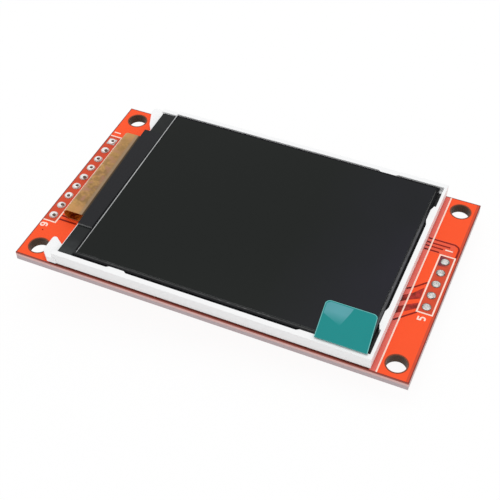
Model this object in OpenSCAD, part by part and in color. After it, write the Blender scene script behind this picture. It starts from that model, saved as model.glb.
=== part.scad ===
// Small colour display module: a red circuit board that carries a liquid crystal panel
// with its backlight, a row of nine header pins, a row of five open card-connector holes
// and, on the back, a socket for a full-size memory card.
// Frame: origin at the centre of the four mounting holes on the BACK face of the board,
// +Z towards the display, +X towards the five open holes, +Y across the short side.
// Units: millimetres.

/* [Circuit board] */
// Length along X
board_l = 67; // [50:0.5:100]
// Width along Y
board_w = 40; // [30:0.5:70]
// Thickness of the laminate
board_t = 1.6; // [0.8:0.1:2.4]
// Diameter of the mounting holes
mount_hole_d = 3.2; // [2:0.1:4]
// Distance from a mounting hole centre to both board edges
mount_inset = 2.75; // [2:0.05:5]
// Distance between neighbouring pins and holes
pitch = 2.54; // [1.27:0.01:5.08]
// Number of header pins
header_n = 9; // [4:1:14]
// Distance from the header row to the left board edge
header_inset = 1.27; // [1:0.01:3]
// Number of open card-connector holes
card_n = 5; // [2:1:8]
// Distance from the card hole row to the right board edge
card_inset = 1.9; // [1.5:0.05:4]
// Drilled diameter of the plated holes
pin_hole_d = 1; // [0.7:0.05:1.2]
// Diameter of the solder pads
pad_d = 1.5; // [1.4:0.05:2.2]

/* [Header] */
// Side of the square pins
pin_side = 0.64; // [0.5:0.01:0.8]
// Length of pin standing free below the plastic strip
pin_free = 6; // [3:0.1:12]
// Length of pin standing above the board face
pin_above = 0.3; // [0.1:0.05:1.5]
// Height of the plastic strip
strip_h = 2.54; // [1.5:0.01:3]
// Depth of the plastic strip
strip_d = 2.5; // [2:0.05:3]
// Height of the solder cones on the display side
solder_h = 0.22; // [0.1:0.01:1.2]

/* [Panel] */
// Bare board between the left board edge and the white moulded frame
header_strip = 6.9; // [5:0.1:12]
// Bare board between the frame and the right board edge
card_strip = 6; // [5:0.1:12]
// Width of the white moulded frame
frame_w = 40.1; // [30:0.1:60]
// Height of the white moulded frame
frame_h = 2.05; // [1.5:0.05:4]
// Shift of the panel across the board
frame_dy = 0.35; // [-1:0.05:1]
// Width of the rim beside the glass
rim_w = 0.9; // [0.5:0.05:2]
// Gap between the rim and the glass
glass_gap = 0.35; // [0.1:0.05:0.6]
// Reach of the locating lugs into that gap
lug_reach = 0.3; // [0.05:0.05:0.5]
// Length of a locating lug
lug_l = 2.6; // [1:0.1:5]
// Distance from the left face of the frame to the near wall's first lug
lug_from_left = 11.3; // [6:0.1:20]
// Distance from the right face of the frame to the second lugs
lug_from_right = 10.4; // [6:0.1:20]
// Distance from the near face of the frame to the first lug of the right rim
lug_from_near = 8.2; // [4:0.1:14]
// Distance from the far face of the frame to the second lug of the right rim
lug_from_far = 8.2; // [4:0.1:14]
// Relief of the right rim between its lugs and the corners
corner_ease = 0.3; // [0:0.05:0.6]
// Reach of the ears past the left end of the frame
ear_reach = 2.2; // [0.5:0.1:4]
// Height of the ears
ear_h = 1.1; // [0.5:0.05:2.05]
// Step of the near ear out from the frame's near wall
ear_step = 0.12; // [0.05:0.01:0.4]
// Thickness of the double-sided tape under the frame
tape_t = 0.15; // [0.05:0.05:1]

/* [Glass and films] */
// Thickness of each sheet of glass
glass_t = 0.4; // [0.2:0.05:0.7]
// Length of the open glass ledge that carries the driver
ledge_l = 2.75; // [2:0.05:6]
// Thickness of a polariser sheet
polariser_t = 0.17; // [0.1:0.01:0.3]
// Inset of the front polariser from the glass edge
polariser_inset = 0.5; // [0.2:0.05:2]
// Inset of the front polariser at the ledge end
polariser_end_inset = 0.55; // [0.2:0.05:2]
// Thickness of the clear protective film
film_t = 0.06; // [0.04:0.01:0.15]
// Thickness of the reflector sheet
reflector_t = 0.1; // [0.05:0.01:0.2]
// Thickness of the light guide plate
guide_t = 0.65; // [0.4:0.05:1.2]
// Thickness of the diffuser sheet
diffuser_t = 0.07; // [0.05:0.01:0.2]
// Thickness of each prism sheet
prism_t = 0.08; // [0.05:0.01:0.2]
// Thickness of the black rim tape
rim_tape_t = 0.1; // [0.04:0.01:0.2]

/* [Ledge cover] */
// Bare glass between the near glass edge and the cover
cover_near_gap = 6.5; // [2:0.1:12]
// Bare glass between the cover and the far glass edge
cover_far_gap = 5.75; // [2:0.05:12]
// Height of the cover over the driver
cover_h = 0.36; // [0.32:0.01:0.6]
// Overhang of the cover's far end past the ledge, from being laid askew
cover_skew = 0.8; // [0:0.05:1.5]

/* [Pull tab] */
// Width of the tab
tab_w = 8.35; // [4:0.05:16]
// Length of the tab
tab_l = 7.55; // [4:0.05:16]
// Distance from the tab's left corner to the right glass edge
tab_from_right = 8.05; // [8:0.05:30]
// Reach of the tab past the near glass edge
tab_overhang = 0.7; // [0:0.05:1.2]
// Sideways lean of the tab over its length
tab_lean = 0.75; // [0:0.05:2]
// Thickness of the tab
tab_t = 0.1; // [0.05:0.01:0.3]
// Corner radius at the free end
tab_r = 0.8; // [0.2:0.1:2]

/* [Display flex] */
// Width of the flexible tail
flex_w = 21.5; // [10:0.05:34]
// Shift of the tail across the board
flex_dy = 0.9; // [-3:0.05:3]
// Thickness of the tail
flex_t = 0.1; // [0.05:0.01:0.15]
// Distance the fold stands out past the glass
flex_out = 4.1; // [2:0.1:5]

/* [Card socket] */
// Width of the socket across the card
socket_w = 27.6; // [26:0.1:32]
// Depth of the socket along the card
socket_d = 28.2; // [20:0.1:32]
// Height of the card slot
slot_h = 2.3; // [2.1:0.05:3]
// Width of the card slot
slot_w = 24.4; // [24:0.05:26]
// Distance from the middle of the socket to the right board edge
socket_inset = 24; // [18:0.1:30]
// Thickness of the steel cover
shell_t = 0.2; // [0.1:0.05:0.4]

/* [Hidden] */
$fn = 48;
eps = 0.01;

hole_x = board_l / 2 - mount_inset;
hole_y = board_w / 2 - mount_inset;
header_x = -board_l / 2 + header_inset;
card_x = board_l / 2 - card_inset;
pad_t = 0.04;
barrel_t = 0.1;

// panel in plan
panel_z = board_t + tape_t;
frame_left = -board_l / 2 + header_strip;
frame_right = board_l / 2 - card_strip;
near_y = frame_dy - frame_w / 2;
far_y = frame_dy + frame_w / 2;
frame_top = panel_z + frame_h;

// stack of the backlight and the glass, each on the one before
guide_z = panel_z + reflector_t;
diffuser_z = guide_z + guide_t;
prism_a_z = diffuser_z + diffuser_t;
prism_b_z = prism_a_z + prism_t;
rim_tape_z = prism_b_z + prism_t;
rear_pol_z = rim_tape_z + rim_tape_t;
array_z = rear_pol_z + polariser_t;
filter_z = array_z + glass_t;
front_pol_z = filter_z + glass_t;
film_z = front_pol_z + polariser_t;
tab_z = film_z + film_t;

// glass in plan
rim_ease = 0.1;
rim_right = frame_right - rim_w + rim_ease;
glass_right = rim_right - glass_gap;
glass_near = near_y + rim_w + glass_gap;
glass_far = far_y - rim_w - glass_gap;
array_left = frame_left + 0.45;
filter_left = array_left + ledge_l;

// light guide pocket in plan
shelf_w = 2.3;
pocket_near = near_y + shelf_w;
pocket_far = far_y - shelf_w;
pocket_left = frame_left + 1.2;
pocket_right = frame_right - shelf_w;
film_gap = 0.1;
led_depth = 1.1;
led_w = 3;
led_t = 0.55;
led_n = 4;
guide_left = pocket_left + led_depth + 0.35;

// driver and ledge cover
chip_l = 17.5;
chip_w = 1.1;
chip_t = 0.3;
chip_x = array_left + 1.75;
bond_w = 0.9;
cover_near = glass_near + cover_near_gap;
cover_far = glass_far - cover_far_gap;

// display flex
flex_top = array_z + glass_t + flex_t;
flex_low = board_t + pad_t;
bend_r = (flex_top - flex_low) / 2;
bend_x = array_left - flex_out + bend_r;
tail_end = array_left + 6.5;
tail_pad_n = 18;
tail_pad_pitch = 1.2;
tail_pad_l = 1.8;
tail_pad_w = 0.6;

// card socket
socket_x = board_l / 2 - socket_inset;
base_t = 0.5;
socket_h = base_t + slot_h + shell_t;
mouth_y = board_w / 2;
rear_block = 4.2;
contact_n = 9;
contact_w = 1;
contact_t = 0.2;
contact_pitch = 2.5;

// ---- helpers -------------------------------------------------------------------------

module box(x0, y0, z0, x1, y1, z1) {
    translate([x0, y0, z0]) cube([x1 - x0, y1 - y0, z1 - z0]);
}

module at_mounts() {
    for (sx = [-1, 1]) for (sy = [-1, 1]) translate([sx * hole_x, sy * hole_y, 0]) children();
}

module at_header() {
    for (i = [0 : header_n - 1])
        translate([header_x, ((header_n - 1) / 2 - i) * pitch, 0]) children();
}

module at_card_holes() {
    for (i = [0 : card_n - 1])
        translate([card_x, ((card_n - 1) / 2 - i) * pitch, 0]) children();
}

// the outside of a plated barrel, plain because the laminate hides it
module barrel(more) {
    translate([0, 0, -more])
        cylinder(d = pin_hole_d + 2 * barrel_t, h = board_t + 2 * more, $fn = 12);
}

module plated_hole(sides) {
    difference() {
        union() {
            translate([0, 0, board_t]) cylinder(d = pad_d, h = pad_t);
            translate([0, 0, -pad_t]) cylinder(d = pad_d, h = pad_t);
            barrel(0);
        }
        translate([0, 0, -1]) cylinder(d = pin_hole_d, h = board_t + 2, $fn = sides);
    }
}

module square_plated_hole(sides) {
    difference() {
        union() {
            box(-pad_d / 2, -pad_d / 2, board_t, pad_d / 2, pad_d / 2, board_t + pad_t);
            box(-pad_d / 2, -pad_d / 2, -pad_t, pad_d / 2, pad_d / 2, 0);
            barrel(0);
        }
        translate([0, 0, -1]) cylinder(d = pin_hole_d, h = board_t + 2, $fn = sides);
    }
}

// a flat sheet over the light guide pocket
module pocket_sheet(z, t, left) {
    box(left, pocket_near + film_gap, z, pocket_right - film_gap, pocket_far - film_gap, z + t);
}

// ---- circuit board -------------------------------------------------------------------

module circuit_board() {
    color([0.90, 0.25, 0.14])
    difference() {
        box(-board_l / 2, -board_w / 2, 0, board_l / 2, board_w / 2, board_t);
        at_mounts() translate([0, 0, -1]) cylinder(d = mount_hole_d, h = board_t + 2);
        at_header() barrel(1);
        at_card_holes() barrel(1);
    }
}

module header_pads() {
    color([0.82, 0.82, 0.80]) {
        for (i = [1 : header_n - 1])
            translate([header_x, ((header_n - 1) / 2 - i) * pitch, 0]) plated_hole(12);
        translate([header_x, (header_n - 1) / 2 * pitch, 0]) square_plated_hole(12);
    }
}

module card_pads() {
    color([0.82, 0.82, 0.80]) at_card_holes() plated_hole(48);
}

// ---- header --------------------------------------------------------------------------

module header_pins() {
    color([0.78, 0.70, 0.42])
    at_header() box(-pin_side / 2, -pin_side / 2, -strip_h - pin_free,
                    pin_side / 2, pin_side / 2, board_t + pin_above);
}

module header_spacer() {
    notch = 0.4;
    color([0.08, 0.08, 0.08])
    difference() {
        translate([header_x, 0, -strip_h - pad_t])
            linear_extrude(height = strip_h)
                for (i = [0 : header_n - 1])
                    translate([0, ((header_n - 1) / 2 - i) * pitch])
                        polygon([[-strip_d / 2, -pitch / 2 + notch], [-strip_d / 2 + notch, -pitch / 2],
                                 [strip_d / 2 - notch, -pitch / 2], [strip_d / 2, -pitch / 2 + notch],
                                 [strip_d / 2, pitch / 2 - notch], [strip_d / 2 - notch, pitch / 2],
                                 [-strip_d / 2 + notch, pitch / 2], [-strip_d / 2, pitch / 2 - notch]]);
        at_header() box(-pin_side / 2, -pin_side / 2, -strip_h - 1, pin_side / 2, pin_side / 2, 1);
    }
}

module header_solder() {
    color([0.85, 0.85, 0.84])
    at_header() difference() {
        union() {
            translate([0, 0, board_t + pad_t])
                cylinder(d1 = pad_d - 0.1, d2 = pin_side + 0.3, h = solder_h, $fn = 12);
            translate([0, 0, -pad_t])
                cylinder(d = pin_hole_d, h = board_t + 2 * pad_t, $fn = 12);
        }
        box(-pin_side / 2, -pin_side / 2, -1, pin_side / 2, pin_side / 2, board_t + 3);
    }
}

// ---- panel frame ---------------------------------------------------------------------

module mounting_tape() {
    strip = 1.8;
    color([0.93, 0.93, 0.90]) {
        box(frame_left + 5.5, near_y + 0.4, board_t, frame_right - 0.3, near_y + 0.4 + strip, panel_z);
        box(frame_left + 5.5, board_w / 2 - 0.3 - strip, board_t, frame_right - 0.3,
            board_w / 2 - 0.3, panel_z);
        box(frame_right - 0.3 - strip, near_y + 0.8 + strip, board_t,
            frame_right - 0.3, board_w / 2 - 0.7 - strip, panel_z);
    }
}

module lug_y(x, y, dir, slope) {
    translate([x, y, rim_tape_z + rim_tape_t])
        linear_extrude(height = frame_top - rim_tape_z - rim_tape_t)
            polygon([[-lug_l / 2 - slope, -eps * dir], [-lug_l / 2, lug_reach * dir],
                     [lug_l / 2, lug_reach * dir], [lug_l / 2 + slope, -eps * dir],
                     [lug_l / 2 + slope, -0.2 * dir], [-lug_l / 2 - slope, -0.2 * dir]]);
}

module near_ear() {
    x1 = frame_left - ear_reach;
    root = frame_left + 0.1;
    step_end = frame_left + 0.6;
    translate([0, 0, panel_z]) linear_extrude(height = ear_h)
        polygon([[step_end, near_y - ear_step], [x1 + 1.2, near_y - ear_step],
                 [x1, near_y + 1], [x1, near_y + 3.9], [x1 + 0.12, near_y + 4.18],
                 [x1 + 0.4, near_y + 4.3], [x1 + 0.7, near_y + 4.25], [x1 + 1, near_y + 4],
                 [root - 0.15, near_y + 3.2], [root, near_y + 3.1], [root, near_y + 0.1],
                 [step_end, near_y + 0.1]]);
}

module far_ear() {
    x1 = frame_left - ear_reach + 0.1;
    root = frame_left + 0.1;
    translate([0, 0, panel_z]) linear_extrude(height = ear_h)
        polygon([[root, far_y], [x1 + 0.4, far_y], [x1 + 0.1, far_y - 0.15],
                 [x1, far_y - 0.5], [x1, far_y - 1.2], [x1 + 1.2, far_y - 4.3],
                 [root - 0.35, far_y - 5.4], [root, far_y - 5.7]]);
}

module backlight_frame() {
    side_slope = 0.5;
    end_slope = 1;
    color([0.93, 0.94, 0.95])
    union() {
        difference() {
            box(frame_left, near_y, panel_z, frame_right, far_y, frame_top);
            // pocket for the reflector, the light guide and the sheets
            box(pocket_left, pocket_near, panel_z - 1, pocket_right, pocket_far, frame_top + 1);
            // seat of the black rim tape
            box(pocket_left - 0.6, pocket_near - 0.8, rim_tape_z, pocket_right + 0.8,
                pocket_far + 0.8, frame_top + 1);
            box(pocket_right, pocket_near - 0.8, rim_tape_z, rim_right + corner_ease + 0.05,
                pocket_far + 0.8, rear_pol_z);
            // recess for the glass, open at the left end
            box(frame_left - 1, near_y + rim_w, rear_pol_z, rim_right, far_y - rim_w,
                frame_top + 1);
            // relief of the right rim between its lugs and the corners
            box(rim_right - 1, near_y + rim_w, rear_pol_z, rim_right + corner_ease,
                near_y + lug_from_near - lug_l / 2 - end_slope, frame_top + 1);
            box(rim_right - 1, far_y - lug_from_far + lug_l / 2 + end_slope, rear_pol_z,
                rim_right + corner_ease, far_y - rim_w, frame_top + 1);
            // far wall cut down beside the ledge
            box(frame_left - 1, far_y - rim_w - 1, filter_z, filter_left, far_y + 1,
                frame_top + 1);
        }
        for (x = [frame_left + lug_from_left, frame_right - lug_from_right])
            lug_y(x, near_y + rim_w, 1, side_slope);
        // the far side has one lug only
        lug_y(frame_right - lug_from_right, far_y - rim_w, -1, side_slope);
        for (y = [near_y + lug_from_near, far_y - lug_from_far])
            translate([rim_right, y, 0]) rotate([0, 0, 90]) lug_y(0, 0, 1, end_slope);
        near_ear();
        far_ear();
    }
}

// ---- backlight -----------------------------------------------------------------------

module reflector_film() {
    color([0.88, 0.89, 0.90]) pocket_sheet(panel_z, reflector_t, guide_left);
}

module light_guide() {
    color([0.90, 0.94, 0.96]) pocket_sheet(guide_z, guide_t, guide_left);
}

module diffuser_film() {
    color([0.95, 0.95, 0.94]) pocket_sheet(diffuser_z, diffuser_t, guide_left - 0.6);
}

module prism_film_lower() {
    color([0.86, 0.88, 0.90]) pocket_sheet(prism_a_z, prism_t, guide_left - 0.4);
}

module prism_film_upper() {
    color([0.86, 0.88, 0.90]) pocket_sheet(prism_b_z, prism_t, guide_left - 0.4);
}

module led_flex() {
    color([0.92, 0.90, 0.82])
    box(pocket_left + film_gap, pocket_near + 1, panel_z, guide_left, pocket_far - 1, guide_z);
}

module backlight_leds() {
    gap = (pocket_far - pocket_near - 6) / led_n;
    color([0.96, 0.93, 0.78])
    for (i = [0 : led_n - 1])
        translate([pocket_left + 0.2, pocket_near + 3 + gap * (i + 0.5), guide_z])
            box(0, -led_w / 2, 0, led_depth, led_w / 2, led_t);
}

module rim_tape() {
    win = 1.2;
    color([0.05, 0.05, 0.06])
    difference() {
        box(pocket_left - 0.5, pocket_near - 0.7, rim_tape_z, rim_right + corner_ease,
            pocket_far + 0.7, rear_pol_z);
        box(guide_left + win, pocket_near + win, rim_tape_z - 1, pocket_right - win,
            pocket_far - win, rear_pol_z + 1);
    }
}

// ---- glass ---------------------------------------------------------------------------

module rear_polariser() {
    color([0.18, 0.19, 0.20])
    box(filter_left + 0.1, glass_near + polariser_inset, rear_pol_z,
        glass_right - polariser_inset, glass_far - polariser_inset, array_z);
}

module array_glass() {
    color([0.22, 0.24, 0.25])
    box(array_left, glass_near, array_z, glass_right, glass_far, filter_z);
}

module colour_filter_glass() {
    color([0.12, 0.12, 0.13])
    box(filter_left, glass_near, filter_z, glass_right, glass_far, front_pol_z);
}

module front_polariser() {
    color([0.16, 0.165, 0.16])
    box(filter_left + polariser_end_inset, glass_near + polariser_inset, front_pol_z,
        glass_right - polariser_inset, glass_far - polariser_inset, film_z);
}

module driver_chip() {
    color([0.10, 0.10, 0.12])
    box(chip_x - chip_w / 2, -chip_l / 2, filter_z, chip_x + chip_w / 2, chip_l / 2,
        filter_z + chip_t);
}

module ledge_cover() {
    color([0.16, 0.16, 0.17])
    difference() {
        translate([0, 0, filter_z]) linear_extrude(height = cover_h)
            polygon([[array_left + 0.02, cover_near], [filter_left - 0.1, cover_near],
                     [filter_left - 0.1, cover_far], [array_left - cover_skew, cover_far]]);
        box(chip_x - chip_w / 2, -chip_l / 2, filter_z - 1, chip_x + chip_w / 2, chip_l / 2,
            filter_z + chip_t);
        box(array_left - cover_skew - 1, flex_dy - flex_w / 2, filter_z - 1, array_left + bond_w,
            flex_dy + flex_w / 2, filter_z + flex_t);
    }
}

// ---- display flex --------------------------------------------------------------------

module flex_profile() {
    mid = (flex_top + flex_low) / 2;
    union() {
        // run on the glass and out over the board
        translate([bend_x, flex_top - flex_t]) square([array_left + bond_w - bend_x, flex_t]);
        // run back under the panel
        translate([bend_x, flex_low]) square([tail_end - bend_x, flex_t]);
        // the fold
        translate([bend_x, mid]) difference() {
            circle(r = bend_r, $fn = 64);
            circle(r = bend_r - flex_t, $fn = 64);
            translate([0, -bend_r - 1]) square([bend_r + 1, 2 * bend_r + 2]);
        }
    }
}

module display_flex() {
    color([0.73, 0.57, 0.33])
    translate([0, flex_dy + flex_w / 2, 0]) rotate([90, 0, 0])
        linear_extrude(height = flex_w) flex_profile();
}

module flex_solder() {
    color([0.80, 0.80, 0.78])
    for (i = [0 : tail_pad_n - 1])
        translate([tail_end - tail_pad_l, flex_dy + (i - (tail_pad_n - 1) / 2) * tail_pad_pitch,
                   board_t])
            box(0, -tail_pad_w / 2, 0, tail_pad_l, tail_pad_w / 2, pad_t);
}

// ---- film and tab --------------------------------------------------------------------

module protective_film() {
    inset = polariser_inset + 0.1;
    color([0.20, 0.21, 0.20])
    box(filter_left + polariser_end_inset + 0.1, glass_near + inset, film_z,
        glass_right - inset, glass_far - inset, tab_z);
}

module pull_tab() {
    x0 = glass_right - tab_from_right;
    y0 = glass_near - tab_overhang;
    xt = x0 - tab_lean;
    yt = y0 + tab_l;
    color([0.14, 0.57, 0.55])
    translate([0, 0, tab_z])
        linear_extrude(height = tab_t)
            union() {
                polygon([[x0, y0], [x0 + tab_w, y0], [xt + tab_w, yt - tab_r], [xt, yt - tab_r]]);
                polygon([[xt, yt - tab_r - eps], [xt + tab_w, yt - tab_r - eps],
                         [xt + tab_w - tab_r, yt], [xt + tab_r, yt]]);
                for (x = [xt + tab_r, xt + tab_w - tab_r])
                    translate([x, yt - tab_r]) circle(r = tab_r);
            }
}

// ---- card socket ---------------------------------------------------------------------

module card_socket_body() {
    x0 = socket_x - socket_w / 2 + shell_t;
    x1 = socket_x + socket_w / 2 - shell_t;
    y0 = mouth_y - socket_d + shell_t;
    color([0.10, 0.10, 0.11])
    difference() {
        box(x0, y0, -socket_h + shell_t, x1, mouth_y - 0.3, 0);
        // the card slot, open at the mouth
        box(socket_x - slot_w / 2, y0 + rear_block, -base_t - slot_h, socket_x + slot_w / 2,
            mouth_y + 1, -base_t);
        // channels for the spring contacts
        for (i = [0 : contact_n - 1])
            translate([contact_x(i), 0, 0])
                box(-contact_w / 2, y0 - 1, -base_t, contact_w / 2, y0 + rear_block + 8,
                    -base_t + contact_t);
        // channel for the switch contacts
        for (x = [x1 - 0.9, x1 - 0.2])
            box(x - 0.25, y0 - 1, -base_t, x + 0.25, y0 + 11, -base_t + contact_t);
    }
}

function contact_x(i) = socket_x + ((contact_n - 1) / 2 - i) * contact_pitch - 0.6;

module card_socket_shell() {
    x0 = socket_x - socket_w / 2;
    x1 = socket_x + socket_w / 2;
    y0 = mouth_y - socket_d;
    color([0.76, 0.77, 0.78])
    difference() {
        box(x0, y0, -socket_h, x1, mouth_y - 0.3, 0);
        box(x0 + shell_t, y0 + shell_t, -socket_h + shell_t, x1 - shell_t, mouth_y + 1, 1);
        // thumb notch at the mouth
        translate([socket_x, mouth_y + 3, -socket_h - 1]) cylinder(r = 8, h = 1.5, $fn = 96);
        // windows in the cover
        for (s = [-1, 1])
            box(socket_x + s * 8 - 1.5, y0 + 8, -socket_h - 1, socket_x + s * 8 + 1.5,
                y0 + 13, -socket_h + shell_t + eps);
        // slot for the contact tails
        box(x0 + shell_t + 0.5, y0 - 1, -base_t - eps, x1 - shell_t, y0 + 1, 1);
    }
    // solder feet
    color([0.76, 0.77, 0.78])
    for (s = [-1, 1]) for (y = [y0 + 4, mouth_y - 4])
        translate([socket_x + s * socket_w / 2, y, 0])
            box(s > 0 ? -shell_t : -1.4, -1, -shell_t, s > 0 ? 1.4 : shell_t, 1, 0);
}

tail_l = 1.2;
tongue_rise = 0.9;
tongue_l = 3;
contact_reach = 7.5;

module spring_contact(l) {
    // tail on the board, flat in its channel, then a raised springing tongue
    rise = tongue_rise;
    rotate([90, 0, 90]) translate([0, 0, -contact_w / 2]) linear_extrude(height = contact_w)
        polygon([[-tail_l, 0], [0, 0], [0, -base_t + contact_t],
                 [l - tongue_l, -base_t + contact_t],
                 [l - 0.9, -base_t - rise + contact_t], [l, -base_t - rise + 0.4],
                 [l, -base_t - rise + contact_t], [l - 0.9, -base_t - rise],
                 [l - tongue_l, -base_t], [-contact_t, -base_t], [-contact_t, -contact_t],
                 [-tail_l, -contact_t]]);
}

module card_contacts() {
    y0 = mouth_y - socket_d;
    color([0.85, 0.68, 0.32])
    for (i = [0 : contact_n - 1])
        translate([contact_x(i), y0 - 0.05, 0]) spring_contact(rear_block + contact_reach);
}

module card_switch_contacts() {
    x1 = socket_x + socket_w / 2 - shell_t;
    y0 = mouth_y - socket_d;
    color([0.85, 0.68, 0.32])
    for (x = [x1 - 0.9, x1 - 0.2])
        translate([x, y0 - 0.05, 0]) {
            box(-0.2, 0, -base_t, 0.2, 11, -base_t + contact_t);
            box(-0.2, -contact_t, -base_t, 0.2, 0, 0);
            box(-0.2, -tail_l, -contact_t, 0.2, 0, 0);
        }
}

// ---- small parts on the back ---------------------------------------------------------

// distances from the header row, and heights across the board
reg_x = header_x + 11.2;
reg_y = 9;
tra_x = header_x + 11.2;
tra_y = -8.5;
inner_row_x = header_x + 17.2;
outer_row_x = header_x + 4.7;

stand_off = 0.1;

module small_body(x, y, l, w, h) {
    box(x - l / 2, y - w / 2, -h, x + l / 2, y + w / 2, -stand_off);
}

module gull_leads(x, y, l, w, xs_low, xs_high) {
    lead_w = 0.4;
    foot_l = 0.55;
    knee_h = 0.6;
    riser_t = 0.15;
    for (px = xs_low) {
        box(x + px - lead_w / 2, y - w / 2 - foot_l, -stand_off, x + px + lead_w / 2,
            y - w / 2, 0);
        box(x + px - lead_w / 2, y - w / 2 - riser_t, -knee_h, x + px + lead_w / 2,
            y - w / 2, 0);
    }
    for (px = xs_high) {
        box(x + px - lead_w / 2, y + w / 2, -stand_off, x + px + lead_w / 2,
            y + w / 2 + foot_l, 0);
        box(x + px - lead_w / 2, y + w / 2, -knee_h, x + px + lead_w / 2,
            y + w / 2 + riser_t, 0);
    }
}

module voltage_regulator() {
    color([0.09, 0.09, 0.10]) small_body(reg_x, reg_y, 2.9, 1.5, 1.1);
}

module regulator_leads() {
    color([0.80, 0.80, 0.79]) gull_leads(reg_x, reg_y, 2.9, 1.5, [-0.95, 0.95], [0]);
}

module backlight_transistor() {
    color([0.09, 0.09, 0.10]) small_body(tra_x, tra_y, 2.9, 1.5, 1.1);
}

module transistor_leads() {
    color([0.80, 0.80, 0.79]) gull_leads(tra_x, tra_y, 2.9, 1.5, [-0.95, 0.95], [0]);
}

chip_len = 1.6;
chip_wid = 0.8;
end_l = 0.3;
resistor_t = 0.45;
capacitor_t = 0.8;

module at_resistors() {
    for (y = [-9, -6.5, -4, 1.5]) translate([inner_row_x, y, 0]) children();
    translate([outer_row_x, -3, 0]) children();
}

module at_capacitors() {
    for (x = [reg_x - 4.5, reg_x + 4.5])
        translate([x, reg_y, 0]) rotate([0, 0, 90]) children();
    translate([outer_row_x, 1, 0]) rotate([0, 0, 90]) children();
}

module chip_middle(t) {
    box(-chip_len / 2 + end_l, -chip_wid / 2, -t, chip_len / 2 - end_l, chip_wid / 2, 0);
}

module chip_end_pair(t) {
    for (s = [-1, 1])
        box(s < 0 ? -chip_len / 2 : chip_len / 2 - end_l, -chip_wid / 2, -t,
            s < 0 ? -chip_len / 2 + end_l : chip_len / 2, chip_wid / 2, 0);
}

module chip_resistors() {
    color([0.10, 0.10, 0.11]) at_resistors() chip_middle(resistor_t);
}

module resistor_ends() {
    color([0.82, 0.82, 0.81]) at_resistors() chip_end_pair(resistor_t);
}

module chip_capacitors() {
    color([0.62, 0.50, 0.36]) at_capacitors() chip_middle(capacitor_t);
}

module capacitor_ends() {
    color([0.82, 0.82, 0.81]) at_capacitors() chip_end_pair(capacitor_t);
}

// ---- assembly ------------------------------------------------------------------------

circuit_board();
header_pads();
card_pads();
header_pins();
header_spacer();
header_solder();
mounting_tape();
backlight_frame();
reflector_film();
light_guide();
diffuser_film();
prism_film_lower();
prism_film_upper();
led_flex();
backlight_leds();
rim_tape();
rear_polariser();
array_glass();
colour_filter_glass();
front_polariser();
driver_chip();
ledge_cover();
display_flex();
flex_solder();
protective_film();
pull_tab();
card_socket_body();
card_socket_shell();
card_contacts();
card_switch_contacts();
voltage_regulator();
regulator_leads();
backlight_transistor();
transistor_leads();
chip_resistors();
resistor_ends();
chip_capacitors();
capacitor_ends();
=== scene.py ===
"""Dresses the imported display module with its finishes, board markings and solder."""
import math

import bmesh
import bpy
from mathutils import Matrix, Vector


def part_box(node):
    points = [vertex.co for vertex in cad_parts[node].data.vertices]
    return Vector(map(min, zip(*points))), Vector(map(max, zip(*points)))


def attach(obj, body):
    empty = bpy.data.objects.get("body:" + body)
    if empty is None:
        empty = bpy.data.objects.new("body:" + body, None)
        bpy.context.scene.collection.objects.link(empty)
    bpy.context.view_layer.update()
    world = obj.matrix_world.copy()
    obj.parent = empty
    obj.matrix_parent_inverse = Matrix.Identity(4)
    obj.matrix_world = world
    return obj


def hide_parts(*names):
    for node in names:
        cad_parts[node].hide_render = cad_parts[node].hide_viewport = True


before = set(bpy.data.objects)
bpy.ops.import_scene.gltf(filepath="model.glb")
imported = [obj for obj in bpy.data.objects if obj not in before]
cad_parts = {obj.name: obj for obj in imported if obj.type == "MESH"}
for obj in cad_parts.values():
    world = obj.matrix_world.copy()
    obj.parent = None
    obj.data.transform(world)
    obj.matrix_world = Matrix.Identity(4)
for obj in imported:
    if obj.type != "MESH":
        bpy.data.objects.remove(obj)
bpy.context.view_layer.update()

bl_info = {
    "name": "Display Module",
    "version": (1, 0, 0),
    "blender": (4, 5, 0),
    "location": "View3D > Sidebar > Display Module",
    "description": "Builds the finishes, markings and stage of a small display module",
    "category": "Add Mesh",
}

MM = 0.001
BOARD_LOW, BOARD_HIGH = (Vector(c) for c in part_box("circuit_board"))
BOARD_TOP = BOARD_HIGH.z
FACE = BOARD_TOP                      # the display side of the board
PITCH = 2.54 * MM


# ---- sizes and colours a user may change ---------------------------------------------

def shade(name, text, value):
    """A colour setting with three channels."""
    return bpy.props.FloatVectorProperty(
        name=name, description=text, default=value, size=3, min=0.0, max=1.0, subtype="COLOR")


def length(name, text, value):
    """A length setting in metres."""
    return bpy.props.FloatProperty(
        name=name, description=text, default=value, min=0.0, precision=5,
        unit="LENGTH", subtype="DISTANCE")


class BoardSettings(bpy.types.PropertyGroup):
    mask: shade("Solder mask", "Colour of the mask over bare laminate", (1.0, 0.094, 0.021))
    mask_on_copper: shade("Mask on copper", "Colour of the mask over copper",
                          (0.52, 0.058, 0.023))
    trace: shade("Trace edge", "Colour of the mask where it dips beside a trace",
                 (0.20, 0.007, 0.002))
    ink: shade("Marking ink", "Colour of the printed markings", (1.0, 0.84, 0.75))
    line_width: length("Line width", "Width of a printed line", 0.25 * MM)
    ink_height: length("Ink height", "Thickness of the printed ink", 0.02 * MM)
    trace_width: length("Trace width", "Width of a visible trace", 0.30 * MM)
    digit_height: length("Digit height", "Height of the printed pin numbers", 1.30 * MM)


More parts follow.
